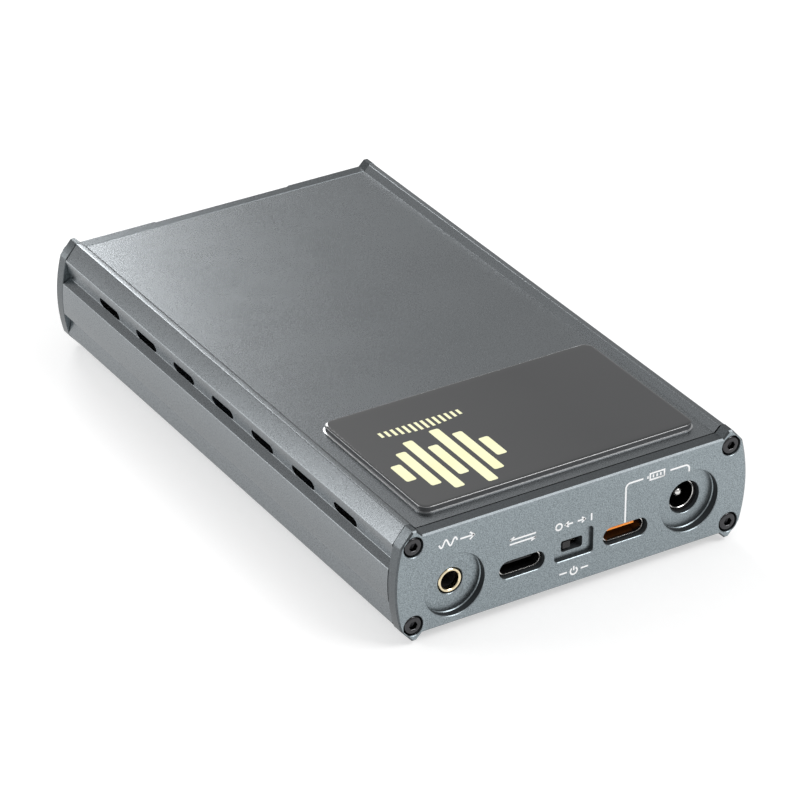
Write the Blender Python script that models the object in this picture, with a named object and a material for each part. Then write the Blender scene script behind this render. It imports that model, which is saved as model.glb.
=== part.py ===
"""A flat battery-powered DAC and headphone amplifier in an extruded aluminium case.

The case lies along Y: the volume knob and headphone sockets face -Y, the connectors face +Y.
Lengths are in millimetres, and Shape.place turns them into metres. Every piece hangs from an
empty at the case's mid-height, so heights are measured up and down from that middle plane.
"""

from math import cos, hypot, pi, radians, sin, sqrt, tan

import bmesh
import bpy
from mathutils import Vector
from mathutils.geometry import interpolate_bezier

MM = 0.001

# Case
WIDTH = 75.5  # across the bulged sides
PANEL_SPAN = 130.0  # from one end panel's outer face to the other's
PANEL_THICK = 2.7
FACE = 10.15  # mid-height to the flat top and bottom faces
PANEL_TIP = 11.4  # mid-height to the tips of a panel's ears
RAIL_TIP = 11.3  # mid-height to the tips of the case's corner rails
SIDE_RADIUS = 32.7  # bulge of the sides
WALL = 1.5
BORE_HALF = 34.2  # half the inside width
BOSS_HALF = 31.4  # where the screw bosses begin
BOSS_TOP = 6.3
GAP = 0.3
KNOB_REACH = 6.8
FOOT_DROP = 0.8  # how far the feet reach below the ears

MID = PANEL_TIP + FOOT_DROP
REAR = (PANEL_SPAN + KNOB_REACH) / 2
FRONT = REAR - PANEL_SPAN
CASE_REAR = REAR - PANEL_THICK
CASE_FRONT = FRONT + PANEL_THICK
CASE_MIDDLE = (REAR + FRONT) / 2
INNER = FACE - WALL

# Vent slots in the grooves
VENT_COUNT = 7
VENT_PITCH = 15.0
VENT_LENGTH = 8.0
VENT_HEIGHT = 2.0
VENT_LOW = 4.3

# Screws
SCREW_X = 34.0
SCREW_Z = 8.15
HEAD_RADIUS = 1.9
HEAD_HEIGHT = 1.9
SHANK_RADIUS = 1.0
SCREW_LENGTH = 10.0
COUNTERBORE_RADIUS = 2.05
COUNTERBORE_DEPTH = 2.1
SCREW_HOLE_RADIUS = 1.3
HEX_ACROSS = 1.5

# Board
BOARD_TOP = -4.75
BOARD_THICK = 1.6
BOARD_HALF = 33.7
PARTS_FLOOR = BOARD_TOP + GAP  # where pieces on the board start

# Glass plate stuck on the top, and the window under its display half
GLASS_X = -0.7
GLASS_Y = REAR - 23.65
GLASS_WIDE = 58.6
GLASS_LONG = 35.5
GLASS_TOP = 11.45
GLASS_THICK = 1.0
GLASS_CORNER = 2.0
WINDOW_X = -14.0
WINDOW_WIDE = 24.0
WINDOW_LONG = 28.0
TAPE_INSET = 0.3  # the tape stops this far inside the plate's edge
DISPLAY_LOW, DISPLAY_HIGH = 7.2, 8.4
DISPLAY_LONG = 30.0
RIBBON_HALF = 5.0
RIBBON_SHEET = 0.3

# Rear connectors
AUX_X, AUX_Z = 25.4, -2.3
DATA_X, CHARGE_X, PORT_Z = 11.2, -11.05, -2.9
SWITCH_X, SWITCH_Z = 0.1, -2.35
INLET_X, INLET_Z = -25.1, -0.85
RECESS_RADIUS = 6.3
INLET_HOLE = 3.3
INLET_LENGTH = 13.0
INLET_HALF = 4.75
SLEEVE_OUTER, SLEEVE_INNER = 3.0, 2.7
PIN_RADIUS = 1.0
PIN_DEPTH = 3.4  # from the outside face back to the pin's tip
JACK_HOLE = 2.65  # 3.5 mm sockets
JACK_RING, JACK_BORE = 2.4, 1.85
JACK_HALF = 3.2
JACK_LENGTH = 12.0
AUX_RECESS, INLET_RECESS, SWITCH_RECESS = 1.6, 1.7, 0.9
PORT_SLOT = (9.7, 3.65)
PORT_OUTER = (9.0, 3.2)
PORT_SHEET = 0.3
PORT_LENGTH = 7.3
PORT_SETBACK = 1.0
SWITCH_TRAVEL = 2.0
SWITCH_OPENING = (8.35, 5.45)
SWITCH_OPENING_RISE = 0.3  # the opening's middle lies this far above the slot's
SWITCH_SLOT = (4.6, 2.3)
FRAME_HALF = 4.5
FRAME_LENGTH = 4.5

# Front controls
PAD_STEP = 0.6  # the middle field lies this far behind the two side pads
FIELD_HALF = 15.35
KNOB_X = 24.5
KNOB_RADIUS = 6.0
POT_HALF = 5.0
POT_LENGTH = 11.0
BUSHING_RADIUS = 3.2
SHAFT_RADIUS = 2.0
PHONES_X = -24.5
PHONES_HALF = 6.2
PHONES_NECK = 4.3
PHONES_BORE = 3.25
PHONES_LENGTH = 22.0
LINE_X = -9.5
BUTTON_Z = -1.6
BUTTON_XS = {"mode": 2.0, "gain": 10.0}
BUTTON_RADIUS = 2.2
BUTTON_TRAVEL = 0.5
LIGHT_X, LIGHT_Z = 6.0, 4.6
LIGHT_RADIUS = 0.65

# Battery, and its plug on the board
BATTERY_WIDE = 60.0
BATTERY_LOW, BATTERY_HIGH = -3.7, 5.6
BATTERY_FRONT, BATTERY_REAR = -24.0, 26.0
LEAD_X = 22.0
LEAD_RADIUS = 0.9
PLUG_SIZE = (6.0, 5.0, 3.0)

# Feet
FOOT_RADIUS = 4.5
FOOT_X = 26.0
FOOT_INSET = 9.0  # from each end of the case to a foot's middle

ALUMINIUM = ((0.33, 0.34, 0.36), 0.38, 1.0)
BLACK_STEEL = ((0.02, 0.02, 0.022), 0.35, 1.0)
STEEL = ((0.62, 0.61, 0.58), 0.25, 1.0)
BRASS = ((0.80, 0.58, 0.26), 0.25, 1.0)
BLACK_PLASTIC = ((0.02, 0.02, 0.02), 0.45, 0.0)
ORANGE_PLASTIC = ((0.75, 0.22, 0.03), 0.4, 0.0)
RUBBER = ((0.03, 0.03, 0.03), 0.8, 0.0)
CHIP = ((0.025, 0.025, 0.03), 0.5, 0.0)


def circle(radius, centre=(0.0, 0.0), steps=24):
    angles = [2 * pi * k / steps for k in range(steps)]
    return [(centre[0] + radius * cos(a), centre[1] + radius * sin(a)) for a in angles]


def rounded_box(width, height, radius, centre=(0.0, 0.0), steps=4):
    """A rectangle with round corners, or an obround where the radius is half the height."""
    points = []
    corners = ((1, 1), (-1, 1), (-1, -1), (1, -1))
    for quarter, (side, end) in enumerate(corners):
        middle = (centre[0] + side * (width / 2 - radius), centre[1] + end * (height / 2 - radius))
        for k in range(steps + 1):
            angle = (quarter + k / steps) * pi / 2
            points.append((middle[0] + radius * cos(angle), middle[1] + radius * sin(angle)))
    return without_repeats(points)


def without_repeats(points):
    steps = [hypot(x - points[k - 1][0], y - points[k - 1][1]) for k, (x, y) in enumerate(points)]
    return [point for point, step in zip(points, steps) if step > 1e-4]


def rounded_corners(points, steps=3):
    """The outline with each (x, z, radius) corner turned into an arc."""
    outline = []
    for k, (x, z, radius) in enumerate(points):
        if not radius:
            outline.append((x, z))
            continue
        corner = Vector((x, z))
        before = (Vector(points[k - 1][:2]) - corner).normalized()
        after = (Vector(points[k + 1][:2]) - corner).normalized()
        half = before.angle(after) / 2
        reach = radius / tan(half)
        middle = corner + (before + after).normalized() * radius / sin(half)
        start = corner + before * reach - middle
        turn = start.angle_signed(corner + after * reach - middle)
        for step in range(steps + 1):
            angle = -turn * step / steps
            outline.append((
                middle.x + start.x * cos(angle) - start.y * sin(angle),
                middle.y + start.x * sin(angle) + start.y * cos(angle),
            ))
    return outline


def side_x(z):
    """The bulged side's distance from the middle at height z."""
    return WIDTH / 2 - SIDE_RADIUS + sqrt(SIDE_RADIUS ** 2 - z ** 2)


def mirrored(quarter):
    """The full outline from its upper right quarter, which runs from the top to the side."""
    right = quarter + [(x, -z) for x, z in reversed(quarter)]
    return right + [(-x, z) for x, z in reversed(right)]


def panel_outline():
    quarter = [(32.1, FACE), (33.35, PANEL_TIP), (34.2, PANEL_TIP)]
    quarter += [(side_x(z), z) for z in (8.65, 6.9, 5.2, 3.4, 1.2)]
    return mirrored(quarter)


def case_outline():
    """The extrusion: flat faces, corner rails, a groove above and below the middle of each side."""
    quarter = rounded_corners([
        (31.95, FACE, 0),
        (33.1, RAIL_TIP, 0),
        (34.2, RAIL_TIP, 0),
        (36.75, 8.2, 0.7),
        (35.9, VENT_LOW, 0.2),
        (side_x(3.4), 3.4, 0.45),
        (side_x(1.2), 1.2, 0),
    ])
    return mirrored(quarter)


def cavity_outline():
    """The inside: bosses for the panel screws, and a guide on each side that holds the board's edge."""
    guide_low = BOARD_TOP - BOARD_THICK - GAP
    guide_high = BOARD_TOP + GAP
    right = [
        (BOSS_HALF, INNER),
        (BOSS_HALF, BOSS_TOP),
        (BORE_HALF, BOSS_TOP),
        (BORE_HALF, guide_high + 1.0),
        (BORE_HALF - 1.6, guide_high + 1.0),
        (BORE_HALF - 1.6, guide_high),
        (BORE_HALF, guide_high),
        (BORE_HALF, guide_low),
        (BOSS_HALF, guide_low),
        (BOSS_HALF, -INNER),
    ]
    return right + [(-x, z) for x, z in reversed(right)]


class Shape:
    """Closed surfaces gathered into one mesh."""

    def __init__(self):
        self.mesh = bmesh.new()

    def prism(self, outline, low, high, axis="Y"):
        """An outline pushed along an axis: (x, z) along Y, (x, y) along Z, (y, z) along X."""
        put = {"X": lambda u, v, t: (t, u, v), "Y": lambda u, v, t: (u, t, v), "Z": lambda u, v, t: (u, v, t)}[axis]
        rows = [[self.mesh.verts.new(put(u, v, t)) for u, v in outline] for t in (low, high)]
        faces = [self.mesh.faces.new(rows[0]), self.mesh.faces.new(rows[1])]
        for k in range(len(outline)):
            faces.append(self.mesh.faces.new((rows[0][k - 1], rows[0][k], rows[1][k], rows[1][k - 1])))
        bmesh.ops.recalc_face_normals(self.mesh, faces=faces)
        return self

    def box(self, low, high):
        outline = [(low[0], low[2]), (high[0], low[2]), (high[0], high[2]), (low[0], high[2])]
        return self.prism(outline, low[1], high[1])

    def turned(self, profile, centre, axis="Y", steps=24, tube=False):
        """A profile of (radius, place along the axis) turned about an axis through centre."""
        put = {
            "Y": lambda r, t, a: (centre[0] + r * cos(a), t, centre[1] + r * sin(a)),
            "Z": lambda r, t, a: (centre[0] + r * cos(a), centre[1] + r * sin(a), t),
        }[axis]
        rings = []
        for radius, place in profile:
            count = steps if radius else 1
            rings.append([self.mesh.verts.new(put(radius, place, 2 * pi * k / steps)) for k in range(count)])
        pairs = list(zip(rings, rings[1:]))
        if tube:
            pairs.append((rings[-1], rings[0]))
        faces = []
        for first, second in pairs:
            for k in range(steps):
                corners = (first[(k - 1) % len(first)], first[k % len(first)])
                corners += (second[k % len(second)], second[(k - 1) % len(second)])
                faces.append(self.mesh.faces.new(list(dict.fromkeys(corners))))
        bmesh.ops.recalc_face_normals(self.mesh, faces=faces)
        return self

    def place(self, name, at=(0.0, 0.0, 0.0)):
        """An object with its origin at this place, hung from the case's middle."""
        bmesh.ops.translate(self.mesh, verts=self.mesh.verts, vec=-Vector(at))
        bmesh.ops.scale(self.mesh, verts=self.mesh.verts, vec=(MM, MM, MM))
        data = bpy.data.meshes.new(name)
        self.mesh.to_mesh(data)
        self.mesh.free()
        piece = bpy.data.objects.new(name, data)
        hang(piece, at)
        return piece


def hang(piece, at=(0.0, 0.0, 0.0)):
    bpy.context.scene.collection.objects.link(piece)
    piece.parent = bpy.data.objects["case_middle"]
    piece.location = Vector(at) * MM


def finish(piece, look, smooth=40):
    """Gives the piece its own material and smooth shading between sharp edges."""
    colour, roughness, metallic = look
    material = bpy.data.materials.new(piece.name)
    material.use_nodes = True
    shader = material.node_tree.nodes["Principled BSDF"]
    shader.inputs["Base Color"].default_value = (*colour, 1.0)
    shader.inputs["Roughness"].default_value = roughness
    shader.inputs["Metallic"].default_value = metallic
    piece.data.materials.append(material)
    if piece.type == "MESH":
        piece.data.shade_smooth()
        piece.data.set_sharp_from_angle(angle=radians(smooth))
    return piece


def boolean(piece, operation, shape, label):
    tool = shape.place(f"{piece.name}_{label}", piece.location / MM)
    tool.location = piece.location
    tool.hide_render = True
    tool.display_type = "WIRE"
    modifier = piece.modifiers.new(label, "BOOLEAN")
    modifier.operation = operation
    modifier.solver = "EXACT"
    modifier.object = tool


def cut(piece, shape, label="cut"):
    boolean(piece, "DIFFERENCE", shape, label)


def join(piece, shape, label="join"):
    boolean(piece, "UNION", shape, label)


def screw_places():
    return [(x, z) for z in (SCREW_Z, -SCREW_Z) for x in (-SCREW_X, SCREW_X)]


def make_case():
    case = Shape().prism(case_outline(), CASE_FRONT + GAP / 2, CASE_REAR - GAP / 2).place("body_shell")
    cut(case, Shape().prism(cavity_outline(), CASE_FRONT - 5, CASE_REAR + 5), "cavity")
    vents = Shape()
    for k in range(VENT_COUNT):
        middle = (CASE_MIDDLE + (k - (VENT_COUNT - 1) / 2) * VENT_PITCH, VENT_LOW + VENT_HEIGHT / 2)
        slot = rounded_box(VENT_LENGTH, VENT_HEIGHT, VENT_HEIGHT / 2, middle)
        vents.prism(slot, BORE_HALF - 0.7, BORE_HALF + 5, "X")
        vents.prism(slot, -BORE_HALF - 5, -BORE_HALF + 0.7, "X")
    cut(case, vents, "vents")
    holes = Shape()
    depth = SCREW_LENGTH + 1
    for x, z in screw_places():
        holes.prism(circle(SCREW_HOLE_RADIUS, (x, z), 12), CASE_FRONT - 5, CASE_FRONT + depth)
        holes.prism(circle(SCREW_HOLE_RADIUS, (x, z), 12), CASE_REAR - depth, CASE_REAR + 5)
    cut(case, holes, "screw_holes")
    window = rounded_box(WINDOW_WIDE, WINDOW_LONG, 1.0, (WINDOW_X, GLASS_Y))
    cut(case, Shape().prism(window, INNER - 1, FACE + 1, "Z"), "window")
    finish(case, ALUMINIUM)


def make_window():
    outline = rounded_box(GLASS_WIDE, GLASS_LONG, GLASS_CORNER, (GLASS_X, GLASS_Y))
    glass_low = GLASS_TOP - GLASS_THICK
    glass = Shape().prism(outline, glass_low, GLASS_TOP, "Z").place("glass_window")
    finish(glass, ((0.03, 0.032, 0.036), 0.06, 0.0))
    wide, long = GLASS_WIDE - 2 * TAPE_INSET, GLASS_LONG - 2 * TAPE_INSET
    outline = rounded_box(wide, long, GLASS_CORNER, (GLASS_X, GLASS_Y))
    tape = Shape().prism(outline, FACE + 0.05, glass_low - 0.05, "Z").place("window_tape")
    window = rounded_box(WINDOW_WIDE + 1, WINDOW_LONG + 1, 1.0, (WINDOW_X, GLASS_Y))
    cut(tape, Shape().prism(window, 0, GLASS_TOP, "Z"))
    finish(tape, RUBBER)
    near, far = GLASS_Y - DISPLAY_LONG / 2, GLASS_Y + DISPLAY_LONG / 2
    half = WINDOW_WIDE / 2 + 1
    low, high = (WINDOW_X - half, near, DISPLAY_LOW), (WINDOW_X + half, far, DISPLAY_HIGH)
    panel = Shape().box(low, high).place("display_module")
    finish(panel, CHIP)
    ribbon_top, ribbon_low, sheet = DISPLAY_LOW + 0.7, PARTS_FLOOR, RIBBON_SHEET
    drop = near - 1.2
    path = [(near - GAP, ribbon_top), (drop, ribbon_top), (drop, ribbon_low), (near + 5, ribbon_low)]
    inside = [(near + 5, ribbon_low + sheet), (drop + sheet, ribbon_low + sheet)]
    inside += [(drop + sheet, ribbon_top - sheet), (near - GAP, ribbon_top - sheet)]
    sides = (WINDOW_X - RIBBON_HALF, WINDOW_X + RIBBON_HALF)
    ribbon = Shape().prism(path + inside, *sides, "X").place("display_ribbon")
    finish(ribbon, ((0.45, 0.22, 0.05), 0.4, 0.0))


def panel_blank(name, outer, inner):
    """An end panel with its counterbored screw holes. Outer is its outside face, inner its inside face."""
    panel = Shape().prism(panel_outline(), min(outer, inner), max(outer, inner)).place(name)
    outward = 1 if outer > inner else -1
    bores = Shape()
    for x, z in screw_places():
        profile = [
            (0, outer + outward),
            (COUNTERBORE_RADIUS, outer + outward),
            (COUNTERBORE_RADIUS, outer - outward * COUNTERBORE_DEPTH),
            (SCREW_HOLE_RADIUS, outer - outward * COUNTERBORE_DEPTH),
            (SCREW_HOLE_RADIUS, inner - outward),
            (0, inner - outward),
        ]
        bores.turned(profile, (x, z), steps=20)
    cut(panel, bores, "screw_bores")
    return panel


def make_rear_panel():
    panel = panel_blank("rear_panel", REAR, CASE_REAR)
    cuts = Shape()
    through = CASE_REAR - 1
    aux = [
        (0, REAR + 1),
        (RECESS_RADIUS, REAR + 1),
        (RECESS_RADIUS, REAR - AUX_RECESS),
        (JACK_HOLE, REAR - AUX_RECESS),
        (JACK_HOLE, through),
        (0, through),
    ]
    cuts.turned(aux, (AUX_X, AUX_Z), steps=32)
    inlet = [
        (0, REAR + 1),
        (RECESS_RADIUS, REAR + 1),
        (RECESS_RADIUS, REAR - INLET_RECESS),
        (INLET_HOLE, REAR - INLET_RECESS),
        (INLET_HOLE, through),
        (0, through),
    ]
    cuts.turned(inlet, (INLET_X, INLET_Z), steps=32)
    for x in (DATA_X, CHARGE_X):
        slot = rounded_box(*PORT_SLOT, PORT_SLOT[1] / 2, (x, PORT_Z))
        cuts.prism(slot, through, REAR + 1)
    cut(panel, cuts, "connectors")
    recess = rounded_box(*SWITCH_OPENING, 0.8, (SWITCH_X, SWITCH_Z + SWITCH_OPENING_RISE))
    cut(panel, Shape().prism(recess, REAR - SWITCH_RECESS, REAR + 1), "switch_recess")
    slot = rounded_box(*SWITCH_SLOT, 0.5, (SWITCH_X, SWITCH_Z))
    cut(panel, Shape().prism(slot, through, REAR), "switch_slot")
    finish(panel, ALUMINIUM)


def make_front_panel():
    panel = panel_blank("front_panel", FRONT, CASE_FRONT)
    cuts = Shape()
    field = Shape().box((-FIELD_HALF, FRONT - 1, -FACE - 2), (FIELD_HALF, FRONT + PAD_STEP, FACE + 2))
    cut(panel, field, "field")
    ends = (FRONT - 1, CASE_FRONT + 1)
    cuts.prism(circle(BUSHING_RADIUS + GAP, (KNOB_X, 0)), *ends)
    cuts.prism(circle(PHONES_NECK + GAP, (PHONES_X, 0)), *ends)
    cuts.prism(circle(JACK_HOLE, (LINE_X, AUX_Z)), *ends)
    cuts.prism(circle(LIGHT_RADIUS + GAP, (LIGHT_X, LIGHT_Z), 12), *ends)
    for x in BUTTON_XS.values():
        cuts.prism(circle(BUTTON_RADIUS + GAP, (x, BUTTON_Z)), *ends)
    cut(panel, cuts, "holes")
    finish(panel, ALUMINIUM)


def make_screws():
    for end, outer, outward in (("rear", REAR, 1), ("front", FRONT, -1)):
        for number, (x, z) in enumerate(screw_places(), 1):
            top = outer - outward * 0.1
            under = top - outward * HEAD_HEIGHT
            tip = under - outward * SCREW_LENGTH
            profile = [
                (0, top),
                (HEAD_RADIUS - 0.2, top),
                (HEAD_RADIUS, top - outward * 0.2),
                (HEAD_RADIUS, under),
                (SHANK_RADIUS, under),
                (SHANK_RADIUS, tip),
                (0, tip),
            ]
            screw = Shape().turned(profile, (x, z), steps=16).place(f"{end}_screw_{number}", (x, top, z))
            socket = circle(HEX_ACROSS / sqrt(3), (x, z), 6)
            ends = sorted((top + outward, top - outward * 1.1))
            cut(screw, Shape().prism(socket, *ends), "socket")
            finish(screw, BLACK_STEEL)


def make_ports():
    for name, x, inside in (("data", DATA_X, BLACK_PLASTIC), ("charge", CHARGE_X, ORANGE_PLASTIC)):
        mouth = REAR - PORT_SETBACK
        back = mouth - PORT_LENGTH
        wide, high = PORT_OUTER
        shell = Shape().prism(rounded_box(wide, high, high / 2, (x, PORT_Z)), back, mouth)
        shell = shell.place(f"{name}_port_shell")
        wide, high = wide - 2 * PORT_SHEET, high - 2 * PORT_SHEET
        inner = rounded_box(wide, high, high / 2, (x, PORT_Z))
        cut(shell, Shape().prism(inner, back - 1, mouth + 1))
        finish(shell, STEEL)
        wide, high = wide - 0.2, high - 0.2
        plug = rounded_box(wide, high, high / 2, (x, PORT_Z))
        tongue = Shape().prism(plug, back + 0.2, back + 1.6).place(f"{name}_port_tongue")
        blade = Shape().box((x - 3.35, back + 1.0, PORT_Z - 0.35), (x + 3.35, mouth - 1.2, PORT_Z + 0.35))
        join(tongue, blade)
        finish(tongue, inside)


def make_inlet():
    front = CASE_REAR - GAP
    back = front - INLET_LENGTH
    low, high = (INLET_X - INLET_HALF, back, PARTS_FLOOR), (INLET_X + INLET_HALF, front, 4.2)
    body = Shape().box(low, high).place("dc_jack_body")
    cut(body, Shape().prism(circle(SLEEVE_OUTER + 0.2, (INLET_X, INLET_Z)), back + 2, front + 1))
    finish(body, BLACK_PLASTIC)
    outer, inner = SLEEVE_OUTER, SLEEVE_INNER
    profile = [(outer, back + 2.4), (outer, front), (inner, front), (inner, back + 2.4)]
    sleeve = Shape().turned(profile, (INLET_X, INLET_Z), tube=True).place("dc_jack_sleeve")
    finish(sleeve, STEEL)
    root, tip = back + 2.3, REAR - PIN_DEPTH
    flange, flange_end = SLEEVE_INNER - 0.4, root + 0.7
    profile = [
        (0, root),
        (flange, root),
        (flange, flange_end),
        (PIN_RADIUS, flange_end),
        (PIN_RADIUS, tip - 0.5),
        (PIN_RADIUS - 0.4, tip),
        (0, tip),
    ]
    pin = Shape().turned(profile, (INLET_X, INLET_Z), steps=16).place("dc_jack_pin")
    finish(pin, STEEL)


def make_small_jack(name, x, front, outward, ring_front):
    """A 3.5 mm socket: a body behind the panel, and a threaded ring in the panel's hole."""
    back = front - outward * JACK_LENGTH
    low, high = sorted((front, back))
    corners = (x - JACK_HALF, low, PARTS_FLOOR), (x + JACK_HALF, high, -0.1)
    body = Shape().box(*corners).place(f"{name}_jack_body")
    ends = sorted((front + outward, back + outward * 1.5))
    cut(body, Shape().prism(circle(JACK_BORE, (x, AUX_Z), 16), *ends))
    finish(body, BLACK_PLASTIC)
    root = front + outward * 0.1
    outer, inner = JACK_RING, JACK_BORE
    profile = [(outer, root), (outer, ring_front), (inner, ring_front), (inner, root)]
    ring = Shape().turned(profile, (x, AUX_Z), tube=True).place(f"{name}_jack_ring")
    finish(ring, BRASS)


def make_phones_jack():
    front = CASE_FRONT + GAP
    back = front + PHONES_LENGTH
    half = PHONES_HALF
    body = Shape().box((PHONES_X - half, front, -half), (PHONES_X + half, back, half)).place("phones_jack_body")
    neck_end = FRONT - 1.0
    join(body, Shape().prism(circle(PHONES_NECK, (PHONES_X, 0)), neck_end, front + 1), "neck")
    cut(body, Shape().prism(circle(PHONES_BORE, (PHONES_X, 0)), neck_end - 1, back - 1.5), "bore")
    finish(body, BLACK_PLASTIC)
    ring_root = FRONT - GAP
    profile = [(5.8, ring_root), (5.8, ring_root - 0.9), (5.5, neck_end - 0.2), (4.6, neck_end - 0.2), (4.6, ring_root)]
    ring = Shape().turned(profile, (PHONES_X, 0), tube=True).place("phones_jack_ring")
    finish(ring, ALUMINIUM)


def make_volume():
    front = CASE_FRONT + GAP
    centre = (KNOB_X, 0)
    low, high = (KNOB_X - POT_HALF, front, PARTS_FLOOR), (KNOB_X + POT_HALF, front + POT_LENGTH, 5.5)
    pot = Shape().box(low, high).place("volume_pot")
    bore = SHAFT_RADIUS + GAP
    join(pot, Shape().prism(circle(BUSHING_RADIUS, centre), FRONT + 0.4, front + 1), "bushing")
    cut(pot, Shape().prism(circle(bore, centre), FRONT - 1, front + 8), "bore")
    finish(pot, STEEL)
    tip = FRONT - KNOB_REACH
    pivot = (KNOB_X, FRONT, 0)
    shaft_root, shaft_tip = front + 7.5, tip + 2.2
    profile = [(0, shaft_root), (SHAFT_RADIUS, shaft_root), (SHAFT_RADIUS, shaft_tip), (0, shaft_tip)]
    shaft = Shape().turned(profile, centre, steps=16).place("volume_shaft", pivot)
    finish(shaft, STEEL)
    root = FRONT - 0.5
    profile = [
        (0, tip),
        (KNOB_RADIUS - 0.5, tip),
        (KNOB_RADIUS, tip + 0.5),
        (KNOB_RADIUS, root),
        (bore, root),
        (bore, tip + 1.8),
        (0, tip + 1.8),
    ]
    knob = Shape().turned(profile, centre, steps=48).place("volume_knob", pivot)
    pointer = Shape().box((KNOB_X - 0.4, tip - 1, 2.4), (KNOB_X + 0.4, tip + 0.4, KNOB_RADIUS + 1))
    cut(knob, pointer, "pointer")
    screw_y = root - 2.2
    screw_end = KNOB_RADIUS - 0.6
    cut(knob, Shape().prism(circle(1.3, (KNOB_X, screw_y), 12), -KNOB_RADIUS - 1, -1.0, "Z"), "screw_hole")
    finish(knob, ((0.06, 0.06, 0.065), 0.35, 1.0), 30)
    grub = Shape().prism(circle(1.0, (KNOB_X, screw_y), 12), -screw_end, -2.1, "Z").place("knob_grub_screw", pivot)
    finish(grub, BLACK_STEEL)


def make_buttons():
    field = FRONT + PAD_STEP
    for name, x in BUTTON_XS.items():
        back = CASE_FRONT + 1.3
        profile = [
            (0, field - 1.1),
            (BUTTON_RADIUS - 0.3, field - 1.1),
            (BUTTON_RADIUS, field - 0.8),
            (BUTTON_RADIUS, CASE_FRONT + GAP),
            (BUTTON_RADIUS + 0.6, CASE_FRONT + GAP),
            (BUTTON_RADIUS + 0.6, back),
            (0, back),
        ]
        button = Shape().turned(profile, (x, BUTTON_Z)).place(f"{name}_button", (x, field, BUTTON_Z))
        finish(button, ALUMINIUM)
        plunger = back + BUTTON_TRAVEL + 0.1
        switch = Shape().box((x - 3, plunger + 1, PARTS_FLOOR), (x + 3, plunger + 4.6, 0.6)).place(f"{name}_switch")
        join(switch, Shape().prism(circle(1.2, (x, BUTTON_Z), 12), plunger, plunger + 2), "plunger")
        finish(switch, BLACK_PLASTIC)


def make_status_light():
    """A bent clear rod that carries the light up from the board to the front."""
    radius = LIGHT_RADIUS
    front = FRONT + PAD_STEP
    bend = CASE_FRONT + 5.0
    pipe = Shape().prism(circle(radius, (LIGHT_X, LIGHT_Z), 12), front - 0.1, bend + radius).place("light_pipe")
    leg = circle(radius - 0.05, (LIGHT_X, bend), 12)
    join(pipe, Shape().prism(leg, BOARD_TOP + 1.4, LIGHT_Z + 0.1, "Z"), "leg")
    finish(pipe, ((0.7, 0.75, 0.8), 0.1, 0.0))
    low = (LIGHT_X - 0.8, bend - 0.4, PARTS_FLOOR)
    lamp = Shape().box(low, (LIGHT_X + 0.8, bend + 0.4, BOARD_TOP + 1.1)).place("status_light")
    finish(lamp, ((0.8, 0.78, 0.7), 0.3, 0.0))


def make_power_switch():
    front = CASE_REAR - GAP
    back = front - FRAME_LENGTH
    half = FRAME_HALF
    low, high = PARTS_FLOOR, 2 * SWITCH_Z - PARTS_FLOOR
    frame = Shape().box((SWITCH_X - half, back, low), (SWITCH_X + half, front, high)).place("power_switch_frame")
    room = Shape().box((SWITCH_X - 3.6, back + 0.8, SWITCH_Z - 1.5), (SWITCH_X + 3.6, front - 0.6, SWITCH_Z + 1.5))
    cut(frame, room, "room")
    slot = Shape().box((SWITCH_X - 2.3, front - 2, SWITCH_Z - 1.0), (SWITCH_X + 2.3, front + 1, SWITCH_Z + 1.0))
    cut(frame, slot, "slot")
    finish(frame, STEEL)
    rest = SWITCH_X + SWITCH_TRAVEL / 2
    foot = Shape().box((rest - 2.0, back + 1.2, SWITCH_Z - 1.2), (rest + 2.0, front - 1.0, SWITCH_Z + 1.2))
    slider = foot.place("power_slider", (rest, front, SWITCH_Z))
    nub = Shape().box((rest - 0.85, front - 2, SWITCH_Z - 0.75), (rest + 0.85, REAR - 1.0, SWITCH_Z + 0.75))
    join(slider, nub, "nub")
    finish(slider, ((0.05, 0.05, 0.052), 0.5, 0.0))


def make_board():
    half = BOARD_HALF
    low = (-half, CASE_FRONT + 1.0, BOARD_TOP - BOARD_THICK)
    board = Shape().box(low, (half, CASE_REAR - 1.0, BOARD_TOP)).place("main_board")
    half, end = PHONES_HALF + 0.4, CASE_FRONT + PHONES_LENGTH + 0.7
    room = Shape().box((PHONES_X - half, CASE_FRONT - 2, -INNER), (PHONES_X + half, end, 0))
    cut(board, room, "socket_room")
    finish(board, ((0.01, 0.06, 0.03), 0.45, 0.0))


def make_board_parts():
    """Chips and cans, as (name, middle x, middle y, size x, size y, height)."""
    blocks = (
        ("receiver_chip", 9.0, 50.0, 7.0, 7.0, 0.9),
        ("dac_chip", 6.0, -40.0, 7.0, 7.0, 1.0),
        ("opamp_left", 21.0, -36.0, 4.0, 5.0, 1.75),
        ("opamp_right", 28.0, -36.0, 4.0, 5.0, 1.75),
        ("charger_coil", -12.0, 48.0, 6.0, 6.0, 3.0),
    )
    for name, x, y, wide, long, high in blocks:
        low = (x - wide / 2, y - long / 2, PARTS_FLOOR)
        chip = Shape().box(low, (x + wide / 2, y + long / 2, PARTS_FLOOR + high)).place(name)
        finish(chip, CHIP)
    for name, y in (("output_capacitor_left", -39.0), ("output_capacitor_right", -31.0)):
        can = Shape().prism(circle(3.15, (-12.0, y), 20), PARTS_FLOOR, PARTS_FLOOR + 7.4, "Z").place(name)
        finish(can, STEEL)
    shield = Shape().box((-3.0, -48.0, PARTS_FLOOR), (15.0, -32.0, PARTS_FLOOR + 2.4)).place("shield_can")
    cut(shield, Shape().box((-2.7, -47.7, PARTS_FLOOR - 1), (14.7, -32.3, PARTS_FLOOR + 2.1)))
    finish(shield, STEEL)


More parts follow.
